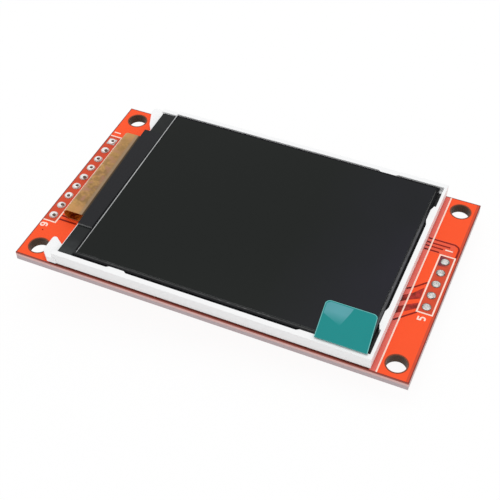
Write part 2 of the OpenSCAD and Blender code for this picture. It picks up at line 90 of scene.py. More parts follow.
class PanelSettings(bpy.types.PropertyGroup):
    frame_white: shade("Frame", "Colour of the moulded frame", (0.93, 0.935, 0.94))
    screen: shade("Screen", "Colour of the unlit screen", (0.0120, 0.0138, 0.0128))
    ledge: shade("Glass ledge", "Colour of the bare end of the lower glass",
                 (0.0185, 0.0205, 0.0210))
    cover: shade("Ledge cover", "Colour of the tape over the driver", (0.0095, 0.0100, 0.0125))
    tab: shade("Pull tab", "Colour of the pull tab", (0.005, 0.254, 0.250))
    # the colour of the pale patch on the upper corner of the pull tab
    tab_pale: shade("Pull tab pale patch", "Colour of the pale patch on the tab", (0.098, 0.366, 0.403))
    copper_film: shade("Flexible tail", "Colour of copper under amber film", (0.47, 0.255, 0.078))


class StageSettings(bpy.types.PropertyGroup):
    floor: shade("Floor", "Colour of the floor", (1.0, 1.0, 1.0))
    world_light: bpy.props.FloatProperty(
        name="World light", description="Strength of the even light", default=0.80, min=0.0)
    key_light: bpy.props.FloatProperty(
        name="Key light", description="Power of the large overhead lamp", default=0.50,
        min=0.0, subtype="POWER", unit="POWER")


# ---- finishes ------------------------------------------------------------------------

class Finish:
    """A node material under construction."""

    def __init__(self, name, colour=(0.5, 0.5, 0.5), rough=0.5, metal=0.0, specular=0.5):
        self.mat = bpy.data.materials.new(name)
        self.mat.use_nodes = True
        self.tree = self.mat.node_tree
        self.nodes = self.tree.nodes
        self.links = self.tree.links
        self.bsdf = self.nodes["Principled BSDF"]
        self.bsdf.inputs["Base Color"].default_value = (*colour, 1.0)
        self.bsdf.inputs["Roughness"].default_value = rough
        self.bsdf.inputs["Metallic"].default_value = metal
        self.bsdf.inputs["Specular IOR Level"].default_value = specular
        self._place = None
        self._normal = None

    def node(self, kind, **values):
        """A new node with its settings."""
        made = self.nodes.new(kind)
        for key, value in values.items():
            setattr(made, key, value)
        return made

    def place(self):
        """Position on the object in metres."""
        if self._place is None:
            self._place = self.node("ShaderNodeTexCoord").outputs["Object"]
        return self._place

    def axis(self, letter):
        """One coordinate of the position."""
        split = self.node("ShaderNodeSeparateXYZ")
        self.links.new(self.place(), split.inputs[0])
        return split.outputs[letter]

    def facing(self, letter):
        """One coordinate of the surface normal."""
        coord = self.node("ShaderNodeTexCoord")
        split = self.node("ShaderNodeSeparateXYZ")
        self.links.new(coord.outputs["Normal"], split.inputs[0])
        return split.outputs[letter]

    def math(self, operation, first, second=0.0):
        """An arithmetic node on two values."""
        made = self.node("ShaderNodeMath", operation=operation)
        for slot, value in zip(made.inputs, (first, second)):
            if isinstance(value, (int, float)):
                slot.default_value = value
            else:
                self.links.new(value, slot)
        return made.outputs[0]

    def blend(self, factor, first, second):
        """A colour between two, by a factor."""
        made = self.node("ShaderNodeMix", data_type="RGBA")
        if isinstance(factor, (int, float)):
            made.inputs["Factor"].default_value = factor
        else:
            self.links.new(factor, made.inputs["Factor"])
        for slot, value in ((made.inputs[6], first), (made.inputs[7], second)):
            if isinstance(value, (tuple, list)) or hasattr(value, "__len__"):
                slot.default_value = (*value, 1.0)
            else:
                self.links.new(value, slot)
        return made.outputs[2]

    def between(self, value, low, high):
        """One where a value lies between two limits, and nought elsewhere."""
        return self.math("MULTIPLY", self.math("GREATER_THAN", value, low),
                         self.math("LESS_THAN", value, high))

    def inside(self, x0, x1, y0, y1):
        """One inside a rectangle in plan, given in millimetres."""
        return self.math("MULTIPLY", self.between(self.axis("X"), x0 * MM, x1 * MM),
                         self.between(self.axis("Y"), y0 * MM, y1 * MM))

    def ramp(self, value, start, end):
        """Nought at the start value, one at the end value, and even between."""
        made = self.node("ShaderNodeMapRange")
        made.inputs["From Min"].default_value = start
        made.inputs["From Max"].default_value = end
        self.links.new(value, made.inputs["Value"])
        return made.outputs[0]

    def noise(self, size, detail=2.0, stretch=(1.0, 1.0, 1.0)):
        """Noise whose features have a size in metres."""
        scale = self.node("ShaderNodeMapping")
        scale.inputs["Scale"].default_value = stretch
        self.links.new(self.place(), scale.inputs["Vector"])
        made = self.node("ShaderNodeTexNoise")
        made.inputs["Scale"].default_value = 1.0 / size
        made.inputs["Detail"].default_value = detail
        self.links.new(scale.outputs[0], made.inputs["Vector"])
        return made.outputs["Fac"]

    def colour(self, source):
        self.links.new(source, self.bsdf.inputs["Base Color"])
        return self

    def mottled(self, first, second, size):
        """A slow drift between two close colours."""
        return self.colour(self.blend(self.noise(size), first, second))

    def grain(self, size, depth, detail=2.0, stretch=(1.0, 1.0, 1.0)):
        """Fine relief: feature size and depth in metres."""
        bump = self.node("ShaderNodeBump")
        bump.inputs["Strength"].default_value = 1.0
        bump.inputs["Distance"].default_value = depth
        self.links.new(self.noise(size, detail, stretch), bump.inputs["Height"])
        self.links.new(bump.outputs[0], self.bsdf.inputs["Normal"])
        return self

    def uneven_gloss(self, low, high, size):
        """Roughness that drifts between two values."""
        span = self.node("ShaderNodeMapRange")
        span.inputs["To Min"].default_value = low
        span.inputs["To Max"].default_value = high
        self.links.new(self.noise(size), span.inputs["Value"])
        self.links.new(span.outputs[0], self.bsdf.inputs["Roughness"])
        return self


def dress(node_name, finish):
    """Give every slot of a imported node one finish."""
    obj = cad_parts[node_name]
    if not obj.material_slots:
        obj.data.materials.append(finish.mat)
    for slot in obj.material_slots:
        slot.material = finish.mat
    return obj


# ---- mesh helpers --------------------------------------------------------------------

def piece(name, bm, finish, smooth=False):
    """Turn a bmesh into a piece that rides on the module."""
    mesh = bpy.data.meshes.new(name)
    bmesh.ops.recalc_face_normals(bm, faces=bm.faces)
    bm.to_mesh(mesh)
    bm.free()
    if smooth:
        for face in mesh.polygons:
            face.use_smooth = True
    obj = bpy.data.objects.new(name, mesh)
    bpy.context.scene.collection.objects.link(obj)
    mesh.materials.append(finish.mat)
    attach(obj, "root")
    return obj


def slab(bm, corners, low, high):
    """A flat plate between two heights, from its corner points in plan."""
    below = [bm.verts.new((x, y, low)) for x, y in corners]
    above = [bm.verts.new((x, y, high)) for x, y in corners]
    bm.faces.new(above)
    bm.faces.new(below[::-1])
    count = len(corners)
    for i in range(count):
        k = (i + 1) % count
        bm.faces.new((below[i], below[k], above[k], above[i]))


def ribbon(bm, points, width, low, high):
    """A line of even width through points in plan, mitred at its corners."""
    left, right = [], []
    pts = [Vector(p) for p in points]
    for i, p in enumerate(pts):
        a = (p - pts[i - 1]).normalized() if i else None
        b = (pts[i + 1] - p).normalized() if i + 1 < len(pts) else None
        along = (a + b).normalized() if a and b else (a or b)
        side = Vector((-along.y, along.x))
        reach = width / 2
        if a and b:
            reach /= max(0.35, side.dot(Vector((-a.y, a.x))))
        left.append(p + side * reach)
        right.append(p - side * reach)
    for i in range(len(pts) - 1):
        slab(bm, [left[i], left[i + 1], right[i + 1], right[i]], low, high)


def turned(bm, profile, centre, turns=24):
    """A surface of revolution about a vertical line, from (radius, height) pairs."""
    rings = []
    for radius, height in profile:
        ring = []
        for k in range(turns):
            a = 2 * math.pi * k / turns
            ring.append(bm.verts.new((centre[0] + radius * math.cos(a),
                                      centre[1] + radius * math.sin(a), height)))
        rings.append(ring)
    for low, high in zip(rings, rings[1:]):
        for k in range(turns):
            n = (k + 1) % turns
            bm.faces.new((low[k], low[n], high[n], high[k]))
    bm.faces.new(rings[0][::-1])
    bm.faces.new(rings[-1])


def header_spots():
    x = BOARD_LOW.x + 1.27 * MM
    return [(x, (4 - i) * PITCH) for i in range(9)]


# ---- operators -----------------------------------------------------------------------

class BuildBoardFinish(bpy.types.Operator):
    """Give the board its red mask, bare edges and drilled walls"""
    bl_idname = "display_module.board_finish"
    bl_label = "Board finish"

    def execute(self, context):
        s = context.scene.board_settings
        half_l, half_w = BOARD_HIGH.x / MM, BOARD_HIGH.y / MM
        f = Finish("red_solder_mask", rough=0.42, specular=0.12)
        mask = f.blend(f.noise(9 * MM, 3.0), tuple(s.mask), tuple(c * 0.93 for c in s.mask))
        # copper under the mask round both rows of holes and along the right end
        copper = f.blend(f.noise(1.6 * MM, 2.0), tuple(s.mask_on_copper),
                         tuple(c * 1.45 for c in s.mask_on_copper))
        header_copper = f.inside(-half_l, -half_l + 2.4, -11.6, 11.7)
        card_copper = f.inside(30.4, 32.9, -6.4, 6.4)
        end_copper = f.inside(half_l - 0.55, half_l, -half_w, half_w)
        front = f.math("GREATER_THAN", f.facing("Z"), 0.5)
        first_pad = f.math("MULTIPLY", f.inside(30.6, 32.7, 4.0, 6.2),
                           f.ramp(f.axis("X"), 32.4 * MM, 31.0 * MM))
        first_pad = f.math("MULTIPLY", first_pad, front)
        covered = f.math("MAXIMUM", header_copper, f.math("MAXIMUM", card_copper, end_copper))
        mask = f.blend(covered, mask, copper)
        mask = f.blend(first_pad, mask, (0.16, 0.035, 0.05))
        # a dark line runs along the cut outline, and the strip in front of the frame's near wall is
        # painted shade
        line = 0.16
        kept = f.inside(-half_l + line, half_l - line, -half_w + line, half_w - line)
        mask = f.blend(kept, (0.22, 0.035, 0.028), mask)
        shaded = f.inside(-half_l + 6.3, half_l - 6.0, -half_w, -half_w + 0.45)
        mask = f.blend(f.math("MULTIPLY", shaded, front), mask, (0.16, 0.030, 0.018))
        # the narrow strip between the panel and the long printed line is pinker: painted shade and
        # painted reflection of the white frame wall beside it
        beside = f.inside(half_l - 6.2, half_l - 5.08, -half_w + line, half_w - line)
        mask = f.blend(f.math("MULTIPLY", beside, front), mask, (0.82, 0.160, 0.125))
        fan = f.inside(half_l - 5.0, half_l - 1.2, 6.5, 9.6)
        mask = f.blend(f.math("MULTIPLY", fan, front), mask, (0.84, 0.105, 0.050))
        # the cut edge: a dark lip, partly mask and partly painted shade, then a pink band over a
        # greyer band, with glass strands
        height = f.axis("Z")
        strands = f.noise(0.25 * MM, 3.0, (0.25, 0.25, 3.0))
        lip = f.blend(strands, (0.30, 0.070, 0.050), (0.42, 0.12, 0.09))
        pink = f.blend(strands, (0.60, 0.36, 0.34), (0.80, 0.55, 0.52))
        grey = f.blend(strands, (0.40, 0.32, 0.33), (0.56, 0.48, 0.50))
        edge = f.blend(f.math("GREATER_THAN", height, 0.85 * MM), grey, pink)
        edge = f.blend(f.math("GREATER_THAN", height, 1.32 * MM), edge, lip)
        # drilled walls are browner than the outline, and darkened with painted shade inside the
        # holes
        drilled = f.inside(-half_l + 0.2, half_l - 0.2, -half_w + 0.2, half_w - 0.2)
        brown = f.blend(strands, (0.050, 0.030, 0.022), (0.14, 0.085, 0.055))
        edge = f.blend(drilled, edge, brown)
        flat = f.math("GREATER_THAN", f.math("ABSOLUTE", f.facing("Z")), 0.5)
        f.colour(f.blend(flat, edge, mask))
        f.grain(0.35 * MM, 0.006 * MM)
        dress("circuit_board", f)
        tin = Finish("tinned_copper", rough=0.34, metal=1.0)
        tin.mottled((0.56, 0.56, 0.54), (0.36, 0.36, 0.34), 0.45 * MM)
        dress("header_pads", tin)
        # the open pads: bright barrels, stained rings and a lip of mask over the copper
        barrel_r, ring_r = 0.51 * MM, 0.68 * MM
        open_pad = Finish("open_pad_metal", rough=0.34, metal=1.0)
        row_x = (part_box("card_pads")[0][0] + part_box("card_pads")[1][0]) / 2
        off_x = open_pad.math("SUBTRACT", open_pad.axis("X"), row_x)
        along = open_pad.math("MULTIPLY", open_pad.axis("Y"), 1 / PITCH)
        off_y = open_pad.math("MULTIPLY", open_pad.math(
            "SUBTRACT", open_pad.math("FRACT", open_pad.math("ADD", along, 10.5)), 0.5), PITCH)
        square_x = open_pad.math("MULTIPLY", off_x, off_x)
        square_y = open_pad.math("MULTIPLY", off_y, off_y)
        radius = open_pad.math("SQRT", open_pad.math("ADD", square_x, square_y))
        barrel = open_pad.blend(open_pad.ramp(open_pad.noise(0.45 * MM), 0.45, 0.60),
                                (0.98, 0.98, 0.97), (0.70, 0.70, 0.67))
        ring = open_pad.blend(open_pad.ramp(open_pad.noise(0.7 * MM), 0.42, 0.60),
                              (0.42, 0.41, 0.39), (0.10, 0.085, 0.07))
        metal = open_pad.blend(open_pad.math("GREATER_THAN", radius, barrel_r), barrel, ring)
        lip = open_pad.math("GREATER_THAN", radius, ring_r)
        open_pad.colour(open_pad.blend(lip, metal, (0.10, 0.020, 0.014)))
        open_pad.links.new(open_pad.math("SUBTRACT", 1.0, lip), open_pad.bsdf.inputs["Metallic"])
        open_pad.uneven_gloss(0.25, 0.45, 0.4 * MM)
        dress("card_pads", open_pad)
        return {"FINISHED"}


class BuildTraces(bpy.types.Operator):
    """Lay the copper that shows through the mask"""
    bl_idname = "display_module.traces"
    bl_label = "Traces"

    def execute(self, context):
        s = context.scene.board_settings
        low, high = FACE, FACE + 0.012 * MM
        # edges of the long traces between the panel and the open holes
        bm = bmesh.new()
        for y, x_end, drop in ((9.35, 32.1, 0.9), (8.45, 31.5, 0.0), (7.65, 30.5, 0.0),
                               (6.8, 30.1, 0.0)):
            points = [(27.6, y), (x_end, y)]
            if drop:
                points += [(x_end + 0.6, y - 0.35), (x_end + 0.85, y - drop), (x_end + 0.85, 5.6)]
            ribbon(bm, [(x * MM, v * MM) for x, v in points], s.trace_width, low, high)
        for points in ([(30.3, -0.15), (28.7, -1.8), (27.6, -2.6)],
                       [(30.5, -6.6), (28.6, -8.5), (27.6, -9.5)]):
            ribbon(bm, [(x * MM, v * MM) for x, v in points], s.trace_width, low, high)
        # a via between the corner hole and the last pin
        ribbon(bm, [(-32.22 * MM, -13.9 * MM), (-31.98 * MM, -13.9 * MM)], 0.24 * MM, low, high)
        # the two traces by the corner of the tail
        for y in (-9.75, -10.65):
            points = [(-30.9, y), (-27.6, y)]
            ribbon(bm, [(x * MM, v * MM) for x, v in points], 0.35 * MM, low, high)
        dip = Finish("mask_beside_trace", tuple(s.trace), 0.42, specular=0.12)
        open_board = dip.blend(dip.noise(0.8 * MM), tuple(s.trace), tuple(c * 1.5 for c in s.trace))
        # the traces darken with painted shade in the strip at the foot of the frame's right wall
        beside = dip.inside(27.0, 28.15, -20.0, 20.0)
        dip.colour(dip.blend(beside, open_board, (0.075, 0.008, 0.014)))
        piece("trace_edges", bm, dip)
        # two wide slanting traces between them
        bm = bmesh.new()
        high = FACE + 0.008 * MM
        for corners in ([(30.15, -1.35), (30.2, -3.8), (28.7, -4.65), (27.0, -5.9), (27.0, -4.5),
                         (28.75, -3.2)],
                        [(30.2, -4.7), (30.3, -5.9), (28.7, -7.2), (27.0, -8.5), (27.0, -7.0),
                         (28.65, -5.75)]):
            slab(bm, [(x * MM, y * MM) for x, y in corners], low, high)
        deep = Finish("mask_on_wide_trace", rough=0.42, specular=0.12)
        patchy_tone = deep.ramp(deep.noise(0.9 * MM, 3.0), 0.35, 0.65)
        patchy_tone = deep.blend(patchy_tone, (0.50, 0.034, 0.024), (0.20, 0.016, 0.007))
        # the traces darken toward the frame's right wall with painted shade
        deep.colour(deep.blend(deep.ramp(deep.axis("X"), 27.9 * MM, 27.4 * MM), patchy_tone,
                               (0.085, 0.022, 0.018)))
        deep.grain(0.3 * MM, 0.004 * MM)
        piece("wide_traces", bm, deep)
        # rings of bare laminate round the mounting holes
        bm = bmesh.new()
        for sx in (-1, 1):
            for sy in (-1, 1):
                cx, cy = sx * 30.75 * MM, sy * 17.25 * MM
                inner, outer, turns = 1.6 * MM, 1.82 * MM, 64
                rings = []
                for radius, z in ((inner, low), (inner, high), (outer, high), (outer, low)):
                    rings.append([bm.verts.new((cx + radius * math.cos(2 * math.pi * k / turns),
                                                cy + radius * math.sin(2 * math.pi * k / turns), z))
                                  for k in range(turns)])
                for a, b in zip(rings, rings[1:] + rings[:1]):
                    for k in range(turns):
                        n = (k + 1) % turns
                        bm.faces.new((a[k], a[n], b[n], b[k]))
        bare = Finish("bare_laminate", (0.22, 0.06, 0.03), 0.6, specular=0.1)
        bare.mottled((0.30, 0.075, 0.035), (0.16, 0.05, 0.028), 0.6 * MM)
        piece("hole_margins", bm, bare)
        return {"FINISHED"}


def arc(cx, cy, radius, start, end, steps):
    """Points along an arc, with its angles in degrees."""
    turn = [math.radians(start + (end - start) * k / steps) for k in range(steps + 1)]
    return [(cx + radius * math.cos(a), cy + radius * math.sin(a)) for a in turn]


# strokes of the printed digits, one unit tall
ONE = [[(0.0, 0.48), (0.0, -0.48)]]
FIVE = [[(0.30, 0.42), (-0.20, 0.42), (-0.20, 0.06)],
        [(-0.26, 0.06), (-0.02, 0.10)] + arc(0.0, -0.17, 0.27, 70, -130, 8)]
NINE = [arc(0.0, 0.20, 0.26, 25, 335, 12),
        [(0.24, 0.36), (0.27, 0.20)] + arc(0.0, -0.14, 0.30, 0, -130, 6)]


class BuildMarkings(bpy.types.Operator):
    """Print the ink lines and pin numbers"""
    bl_idname = "display_module.markings"
    bl_label = "Markings"

    def execute(self, context):
        s = context.scene.board_settings
        low, high = FACE + 0.008 * MM, FACE + 0.008 * MM + s.ink_height
        w = s.line_width
        ink = Finish("marking_ink", tuple(s.ink), 0.6, specular=0.1)
        ink.mottled(tuple(s.ink), (1.0, 0.66, 0.54), 0.5 * MM)
        bm = bmesh.new()
        # three sides round the nine header pins, open at the board edge
        x0, x1, y0, y1 = -33.3, -31.02, -11.65, 11.7
        loop = [(x0, y1), (x1, y1), (x1, y0), (x0, y0)]
        ribbon(bm, [(x * MM, y * MM) for x, y in loop], w, low, high)
        # box round the five open holes
        x0, x1, y0, y1 = 30.42, 32.9, -6.45, 6.4
        loop = [(x0, 0), (x0, y1), (x1, y1), (x1, y0), (x0, y0), (x0, 0)]
        ribbon(bm, [(x * MM, y * MM) for x, y in loop], w, low, high)
        # the long line beside the panel
        ribbon(bm, [(28.42 * MM, 19.85 * MM), (28.42 * MM, -19.85 * MM)], w, low, high)
        piece("marking_lines", bm, ink)
        bm = bmesh.new()
        tall = s.digit_height
        for strokes, x, y in ((ONE, -32.45, 12.75), (NINE, -32.55, -12.75), (ONE, 31.5, 7.7),
                              (FIVE, 31.55, -7.65)):
            for k, stroke in enumerate(strokes):
                # the digits are read from the right end of the board
                points = [(x * MM - v * tall, y * MM + u * tall) for u, v in stroke]
                ribbon(bm, points, 0.26 * MM, low, high + k * 0.003 * MM)
        piece("pin_numbers", bm, ink)
        return {"FINISHED"}


class BuildSolder(bpy.types.Operator):
    """Form the solder fillets round the header pins"""
    bl_idname = "display_module.solder"
    bl_label = "Solder"

    def execute(self, context):
        bm = bmesh.new()
        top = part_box("header_solder")[1][2]
        rise = top - FACE
        for i, (x, y) in enumerate(header_spots()):
            fat = 0.95 + 0.05 * math.sin(2.3 * i + 0.7)
            profile = [(0.71, 0.0), (0.70, 0.28), (0.67, 0.62), (0.60, 0.95), (0.48, 1.18),
                       (0.25, 1.27), (0.05, 1.3)]
            turned(bm, [(r * MM * fat, FACE + 0.02 * MM + rise * h) for r, h in profile], (x, y))
        # the cut ends of the pins, each a little off its own centre, coloured dark as a painted
        # reflection of the black screen
        ends = bmesh.new()
        for i, (x, y) in enumerate(header_spots()):
            across = x + (0.20 + 0.09 * math.sin(1.9 * i)) * MM
            along = y + (-0.14 + 0.10 * math.sin(2.7 * i + 1.0)) * MM
            turned(ends, [(0.32 * MM, FACE + rise * 0.8), (0.31 * MM, FACE + rise * 1.33),
                          (0.24 * MM, FACE + rise * 1.40)], (across, along), 12)
        dark = Finish("pin_end_painted_reflection", rough=0.45, metal=0.5)
        dark.mottled((0.030, 0.016, 0.010), (0.16, 0.10, 0.07), 0.22 * MM)
        piece("pin_ends_painted_reflection", ends, dark)
        bright = Finish("bright_solder", rough=0.25, metal=0.45)
        bright.mottled((0.97, 0.97, 0.96), (0.66, 0.64, 0.62), 0.4 * MM)
        bright.uneven_gloss(0.15, 0.35, 0.35 * MM)
        bright.grain(0.3 * MM, 0.008 * MM)
        fillets = piece("solder_fillets", bm, bright, smooth=True)
        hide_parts("header_solder")
        pins = Finish("pin_metal", (0.62, 0.55, 0.34), 0.32, 1.0)
        # above the board the pins are dark: flux, darkened further with painted shade
        flux_and_painted_shade = pins.math("GREATER_THAN", pins.axis("Z"), BOARD_TOP + 0.05 * MM)
        plated = pins.blend(pins.noise(0.5 * MM), (0.78, 0.64, 0.32), (0.60, 0.50, 0.28))
        dull = pins.blend(pins.noise(0.3 * MM), (0.035, 0.034, 0.020), (0.10, 0.09, 0.045))
        pins.colour(pins.blend(flux_and_painted_shade, plated, dull))
        pins.grain(0.12 * MM, 0.004 * MM, stretch=(1, 1, 0.1))
        dress("header_pins", pins)
        strip = Finish("header_plastic", (0.016, 0.016, 0.017), 0.5, specular=0.4)
        strip.mottled((0.018, 0.018, 0.019), (0.012, 0.012, 0.013), 1.5 * MM)
        strip.grain(0.08 * MM, 0.006 * MM)
        dress("header_spacer", strip)
        return {"FINISHED"}


class BuildFrameFinish(bpy.types.Operator):
    """Give the moulded frame and its tape their white plastic"""
    bl_idname = "display_module.frame_finish"
    bl_label = "Frame finish"

    def execute(self, context):
        s = context.scene.panel_settings
        f = Finish("moulded_white_plastic", rough=0.45, specular=0.2)
        f.mottled(tuple(s.frame_white), tuple(c * 0.96 for c in s.frame_white), 3 * MM)
        f.grain(0.06 * MM, 0.004 * MM)
        dress("backlight_frame", f)
        tape = Finish("white_foam_tape", rough=0.8)
        tape.mottled((0.80, 0.80, 0.77), (0.70, 0.70, 0.68), 0.6 * MM)
        tape.grain(0.1 * MM, 0.02 * MM)
        dress("mounting_tape", tape)
        return {"FINISHED"}


class BuildGlassFinish(bpy.types.Operator):
    """Give the screen, the bare ledge and the cover tape their dark finishes"""
    bl_idname = "display_module.glass_finish"
    bl_label = "Glass finish"

    def execute(self, context):
        s = context.scene.panel_settings
        screen = tuple(s.screen)
        rim = Finish("border_glass", rough=0.25, specular=0.06)
        side = rim.math("LESS_THAN", rim.math("ABSOLUTE", rim.facing("Z")), 0.5)
        low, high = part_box("colour_filter_glass")
        dark = rim.blend(rim.noise(6 * MM), (0.004, 0.004, 0.005), (0.007, 0.007, 0.009))
        # the near border is grey toward the polariser and darkens toward its outer edge with
        # painted shadow of the gap to the frame, and the right border is greyer still
        near = rim.ramp(rim.axis("Y"), low[1] + 0.08 * MM, low[1] + 0.45 * MM)
        near = rim.math("MULTIPLY", near, rim.math("LESS_THAN", rim.axis("Y"), low[1] + 1 * MM))
        dark = rim.blend(near, dark, (0.032, 0.033, 0.034))
        right = rim.ramp(rim.axis("X"), high[0] - 0.02 * MM, high[0] - 0.22 * MM)
        right = rim.math("MULTIPLY", right,
                         rim.math("GREATER_THAN", rim.axis("X"), high[0] - 1 * MM))
        right = rim.math("MULTIPLY", right, rim.ramp(rim.axis("Y"), high[1] - 6 * MM,
                                                     high[1] - 10 * MM))
        dull = rim.blend(rim.noise(1.1 * MM, 3.0), (0.045, 0.045, 0.050), (0.150, 0.150, 0.160))
        dark = rim.blend(right, dark, dull)
        rim.colour(rim.blend(side, dark, (0.003, 0.003, 0.004)))
        dress("colour_filter_glass", rim)
        ledge = Finish("bare_ledge_glass", rough=0.22, specular=0.12)
        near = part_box("array_glass")[0][1]
        clear = ledge.ramp(ledge.axis("Y"), near + 3.6 * MM, near + 0.8 * MM)
        clear = ledge.math("MULTIPLY", clear, ledge.noise(1.3 * MM, 3.0))
        body = ledge.blend(ledge.noise(1.6 * MM, 3.0), tuple(s.ledge),
                           tuple(c * 0.6 for c in s.ledge))
        ledge.colour(ledge.blend(clear, body, tuple(c * 3.2 for c in s.ledge)))
        dress("array_glass", ledge)
        film = Finish("screen_film", rough=0.24, specular=0.06)
        # the cut faces of the film are lighter as a painted highlight
        cut = film.math("LESS_THAN", film.math("ABSOLUTE", film.facing("Z")), 0.5)
        toward_right = film.ramp(film.axis("X"), 8 * MM, 25 * MM)
        tint = film.math("MULTIPLY", toward_right, film.noise(16 * MM, 2.0))
        haze = film.blend(tint, screen, (screen[0] * 1.6, screen[1] * 1.35, screen[2] * 2.1))
        painted_edge_glints = film.blend(film.noise(1.4 * MM, 4.0), (0.05, 0.055, 0.055), (0.34, 0.35, 0.35))
        film.colour(film.blend(cut, haze, painted_edge_glints))
        film.grain(1.2 * MM, 0.002 * MM)
        dress("protective_film", film)
        pol = Finish("polariser", rough=0.28, specular=0.06)
        # the cut faces of the polariser are lighter as a painted highlight
        cut = pol.math("LESS_THAN", pol.math("ABSOLUTE", pol.facing("Z")), 0.5)
        body = pol.blend(pol.noise(10 * MM), (0.013, 0.014, 0.014), (0.017, 0.017, 0.018))
        painted_edge_light = pol.blend(pol.noise(2.2 * MM, 3.0), (0.045, 0.048, 0.048), (0.14, 0.145, 0.145))
        pol.colour(pol.blend(cut, body, painted_edge_light))
        dress("front_polariser", pol)
        dress("rear_polariser", pol)
        cover = Finish("cover_tape", rough=0.42, specular=0.14)
        # the cut ends of the tape are lighter as a painted highlight
        cut = cover.math("GREATER_THAN", cover.math("ABSOLUTE", cover.facing("Y")), 0.5)
        matt = cover.blend(cover.noise(5 * MM, 3.0), tuple(s.cover),
                           tuple(c * 0.8 for c in s.cover))
        cover.colour(cover.blend(cut, matt, (0.22, 0.225, 0.225)))
        cover.grain(0.5 * MM, 0.01 * MM)
        dress("ledge_cover", cover)
        # the ground edge of the upper glass beside the ledge catches the light
        low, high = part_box("colour_filter_glass")
        bm = bmesh.new()
        near = (low[0] + 0.46 * MM, low[1] + 0.55 * MM)
        far = (low[0] + 0.09 * MM, high[1] - 0.05 * MM)
        ribbon(bm, [near, far], 0.17 * MM, high[2] - 0.01 * MM, high[2] + 0.02 * MM)
        ground = Finish("ground_glass_edge", (0.45, 0.46, 0.46), 0.5, specular=0.3)
        ground.mottled((0.60, 0.61, 0.61), (0.22, 0.23, 0.23), 3.5 * MM)
        ground.grain(0.2 * MM, 0.01 * MM)
        piece("ground_edge", bm, ground)
        # the cut edges of the polariser catch the light on the near and right sides
        low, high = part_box("front_polariser")
        bm = bmesh.new()
        off = 0.06 * MM
        path = [(low[0] + 0.1 * MM, low[1] - off), (high[0] + off, low[1] - off),
                (high[0] + off, high[1] - 0.6 * MM)]
        ribbon(bm, path, 0.13 * MM, low[2] - 0.01 * MM, low[2] + 0.05 * MM)
        lit = Finish("cut_sheet_edge", rough=0.5, specular=0.1)
        glints = lit.math("MULTIPLY", lit.ramp(lit.noise(0.9 * MM, 3.0), 0.55, 0.75),
                          lit.ramp(lit.noise(9 * MM, 1.0), 0.42, 0.60))
        plain = lit.blend(lit.noise(2.5 * MM, 2.0), (0.040, 0.041, 0.041), (0.125, 0.126, 0.127))
        lit.colour(lit.blend(glints, plain, (0.30, 0.30, 0.30)))
        piece("sheet_edge", bm, lit)
        chip = Finish("bare_silicon", (0.03, 0.03, 0.04), 0.15, 0.6)
        chip.mottled((0.03, 0.03, 0.045), (0.05, 0.045, 0.05), 0.4 * MM)
        dress("driver_chip", chip)
        return {"FINISHED"}


